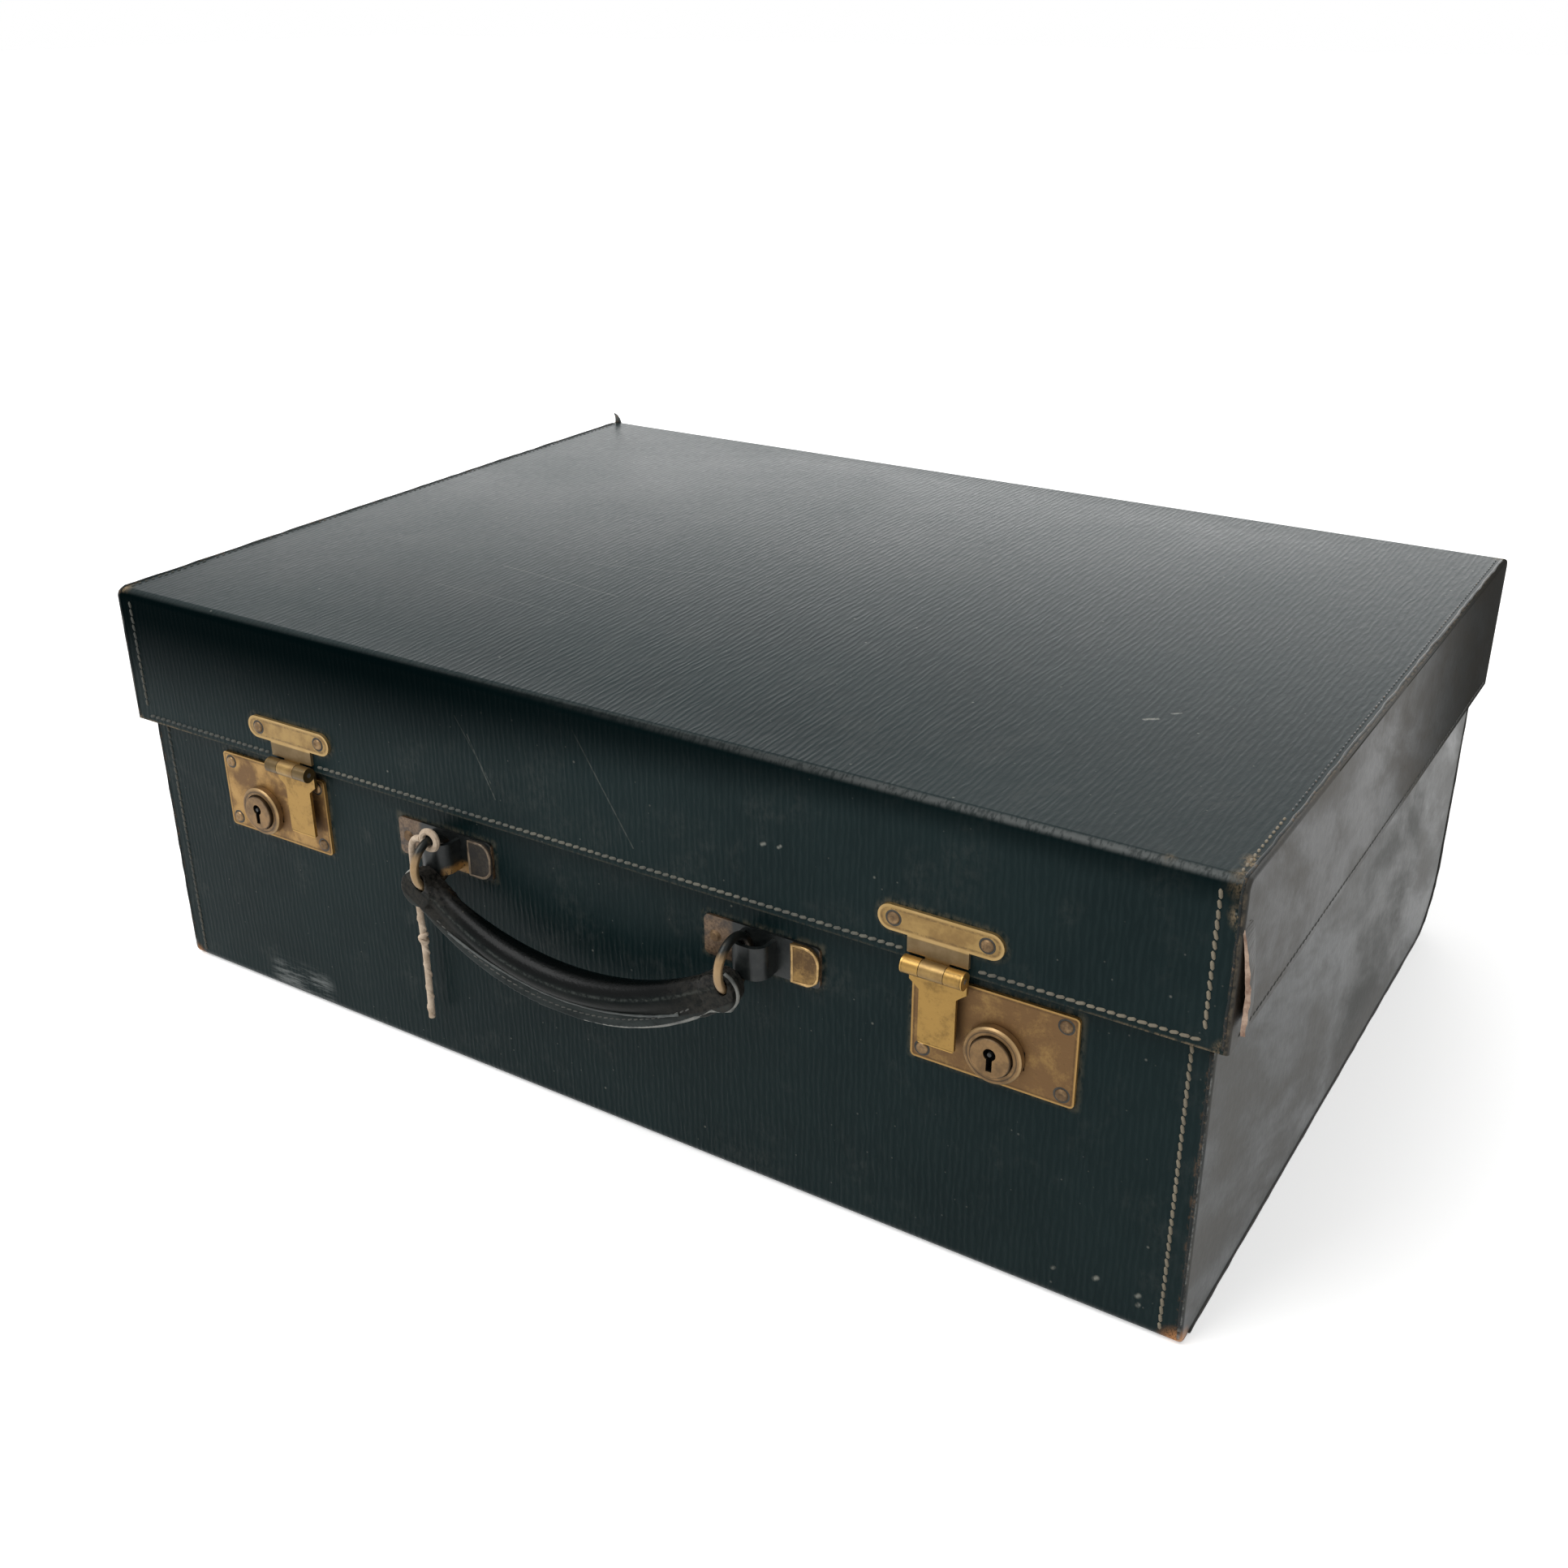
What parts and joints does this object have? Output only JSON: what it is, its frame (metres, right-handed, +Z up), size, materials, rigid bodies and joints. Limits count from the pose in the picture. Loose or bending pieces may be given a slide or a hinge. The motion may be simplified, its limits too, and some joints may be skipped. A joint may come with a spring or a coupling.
{
  "type": "vanity case",
  "caption": "Rectangular leather-covered travelling case with a deep lid, brass hasp locks, a leather handle on rings and butt hinges at the back.",
  "frame": {"origin": "middle of the base, on the surface that the case stands on", "axes": "+X along the front to its right end, -Y out of the front with the locks and handle, +Z up"},
  "size_m": [0.45, 0.3417, 0.1685],
  "materials": {
    "case_leather": "long-grain ribbed leather, satin, worn",
    "pasteboard": "plain pressed board",
    "lining_cloth": "plain woven lining",
    "felt": "soft felt",
    "binding_leather": "thin smooth leather",
    "grip_leather": "smooth rubbed leather",
    "piping_leather": "rubbed piping",
    "string": "twisted string",
    "aged_brass": "aged, browned in places",
    "black_japan": "black japanned brass, worn at its ends",
    "hinge_brass": "dull brass",
    "steel": "plain pressed steel"
  },
  "bodies": {
    "case": {"body_carcass": "pasteboard", "body_wrap_leather": "case_leather", "body_end_leather_left": "case_leather", "body_end_leather_right": "case_leather", "body_lining": "lining_cloth", "body_rim_binding": "binding_leather", "string_tail": "string", "string_knot": "string", "lock_plate_left": "aged_brass", "lock_case_left": "steel", "lock_rivets_left": "aged_brass", "handle_plate_left": "black_japan", "handle_rivets_left": "black_japan", "hinge_body_leaf_left": "hinge_brass", "hinge_pin_left": "steel", "lock_plate_right": "aged_brass", "lock_case_right": "steel", "lock_rivets_right": "aged_brass", "handle_plate_right": "black_japan", "handle_rivets_right": "black_japan", "hinge_body_leaf_right": "hinge_brass", "hinge_pin_right": "steel"},
    "lid": {"lid_carcass": "pasteboard", "lid_wrap_leather": "case_leather", "lid_end_leather_left": "case_leather", "lid_end_leather_right": "case_leather", "lid_padding": "felt", "lid_liner": "pasteboard", "lid_lining": "lining_cloth", "hasp_lid_plate_left": "aged_brass", "hasp_rivets_left": "aged_brass", "hasp_pin_left": "steel", "hinge_lid_leaf_left": "hinge_brass", "hasp_lid_plate_right": "aged_brass", "hasp_rivets_right": "aged_brass", "hasp_pin_right": "steel", "hinge_lid_leaf_right": "hinge_brass"},
    "hasp_left": {"hasp_leaf_left": "aged_brass", "hasp_staple_left": "aged_brass"},
    "slide_left": {"lock_button_left": "aged_brass", "lock_slide_left": "steel", "keyhole_pin_left": "steel"},
    "ring_left": {"handle_ring_left": "aged_brass"},
    "hasp_right": {"hasp_leaf_right": "aged_brass", "hasp_staple_right": "aged_brass"},
    "slide_right": {"lock_button_right": "aged_brass", "lock_slide_right": "steel", "keyhole_pin_right": "steel"},
    "ring_right": {"handle_ring_right": "aged_brass"},
    "grip": {"handle_grip": "grip_leather", "handle_flange": "grip_leather", "handle_piping": "piping_leather"}
  },
  "joints": [
    {"name": "lid_hinge", "type": "hinge", "parent": "case", "child": "lid", "pos_m": [0, 0.1616, 0.1089], "axis": [-1, 0, 0], "range_deg": [0, 100]},
    {"name": "hasp_left_hinge", "type": "hinge", "parent": "lid", "child": "hasp_left", "pos_m": [-0.136, -0.163, 0.1103], "axis": [-1, 0, 0], "range_deg": [0, 170]},
    {"name": "lock_left_slide", "type": "slide", "parent": "case", "child": "slide_left", "axis": [1, 0, 0], "range_m": [0, 0.006]},
    {"name": "hasp_right_hinge", "type": "hinge", "parent": "lid", "child": "hasp_right", "pos_m": [0.136, -0.163, 0.1103], "axis": [-1, 0, 0], "range_deg": [0, 170]},
    {"name": "lock_right_slide", "type": "slide", "parent": "case", "child": "slide_right", "axis": [1, 0, 0], "range_m": [0, 0.006]},
    {"name": "ring_left_turn", "type": "hinge", "parent": "case", "child": "ring_left", "pos_m": [-0.0624, -0.1673, 0.0935], "axis": [1, 0, 0], "continuous": true},
    {"name": "ring_right_turn", "type": "hinge", "parent": "case", "child": "ring_right", "pos_m": [0.0668, -0.1673, 0.0935], "axis": [1, 0, 0], "continuous": true},
    {"name": "grip_swing", "type": "hinge", "parent": "case", "child": "grip", "pos_m": [0.0022, -0.1673, 0.0935], "axis": [-1, 0, 0], "range_deg": [0, 90]}
  ]
}
